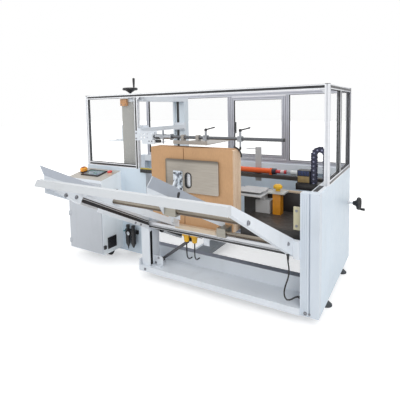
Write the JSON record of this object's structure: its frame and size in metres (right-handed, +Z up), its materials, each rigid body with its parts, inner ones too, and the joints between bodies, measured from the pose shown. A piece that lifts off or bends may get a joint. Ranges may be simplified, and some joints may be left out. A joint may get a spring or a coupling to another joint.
{
  "type": "case erector",
  "caption": "Open-fronted carton erecting machine with a glazed aluminium guard, an inclined blank magazine with pusher, an adjustable crosshead and a side control cabinet.",
  "frame": {"origin": "on the floor, below the middle of the overall box", "axes": "+X from the case outlet to the end with the side handwheel, +Y from the magazine to the rear door, +Z up"},
  "size_m": [2.29, 1.95, 1.575],
  "materials": {
    "white_paint": "smooth cool white powder coat",
    "grey_paint": "light grey powder coat",
    "dark_steel": "dark oiled steel",
    "aluminium": "natural anodised extrusion",
    "bright_steel": "brushed stainless",
    "black_plastic": "moulded black",
    "rubber": "matt black",
    "acrylic": "clear acrylic sheet",
    "kraft_board": "kraft corrugated board",
    "tan_bar": "tan engineering plastic",
    "beige_paint": "beige enamel",
    "orange_paint": "orange enamel",
    "yellow_plastic": "golden yellow plastic"
  },
  "bodies": {
    "frame": {"body_x_beams": "white_paint", "body_y_beams": "white_paint", "front_ledge": "white_paint", "legs": "white_paint", "body_panels": "white_paint", "levelling_feet": "rubber", "guard_posts": "aluminium", "guard_x_rails": "aluminium", "guard_y_rails": "aluminium", "guard_panes": "acrylic", "hinge_leaves": "black_plastic", "control_cabinet": "white_paint", "cabinet_door": "grey_paint", "operator_panel": "black_plastic", "control_buttons": "yellow_plastic", "vent_grille": "black_plastic", "castors": "rubber", "air_unit": "black_plastic", "portal_columns": "grey_paint", "portal_head": "white_paint", "screw_bearing": "orange_paint", "crank_bearing": "grey_paint", "front_post": "white_paint", "left_rail": "aluminium", "left_rail_end": "white_paint", "right_arm": "white_paint", "front_bar": "white_paint", "magazine_guides": "white_paint", "guide_rods": "bright_steel", "guide_clamps": "aluminium", "pusher_rail": "aluminium", "feed_beam": "aluminium", "blank_rest": "tan_bar", "carton_blanks": "kraft_board", "bed_plate": "dark_steel", "inner_beam": "dark_steel", "transfer_cylinder": "orange_paint", "cylinder_coupling": "aluminium", "side_plate": "grey_paint", "forming_plate": "grey_paint", "suction_unit": "yellow_plastic", "drag_chain": "black_plastic", "chain_shelf": "black_plastic", "vacuum_valves": "yellow_plastic", "cable": "rubber", "cable_glands": "black_plastic", "leg_plate": "beige_paint", "air_lines": "black_plastic"},
    "top_handwheel": {"top_handwheel": "black_plastic"},
    "side_handwheel": {"side_handwheel": "black_plastic"},
    "rear_door": {"door_frame": "aluminium", "door_pane": "acrylic", "door_fittings": "black_plastic"},
    "crosshead": {"crosshead_beam": "white_paint", "hold_down_rod": "bright_steel", "rod_clamps": "aluminium", "clamp_levers": "black_plastic", "hold_down_plate": "grey_paint"},
    "pusher": {"pusher_plate": "bright_steel", "pusher_carriage": "black_plastic"}
  },
  "joints": [
    {"name": "top_handwheel_turn", "type": "hinge", "parent": "frame", "child": "top_handwheel", "pos_m": [-0.675, 0.215, 1.44], "axis": [0, 0, 1], "continuous": true},
    {"name": "side_handwheel_turn", "type": "hinge", "parent": "frame", "child": "side_handwheel", "pos_m": [1.02, 0.846, 0.53], "axis": [1, 0, 0], "continuous": true},
    {"name": "rear_door_swing", "type": "hinge", "parent": "frame", "child": "rear_door", "pos_m": [0.4945, 0.937, 1.1], "axis": [0, 0, -1], "range_deg": [0, 110]},
    {"name": "crosshead_lift", "type": "slide", "parent": "frame", "child": "crosshead", "axis": [0, 0, 1], "range_m": [0, 0.2]},
    {"name": "pusher_slide", "type": "slide", "parent": "frame", "child": "pusher", "axis": [0, -0.8988, 0.4384], "range_m": [0, 0.5]}
  ]
}
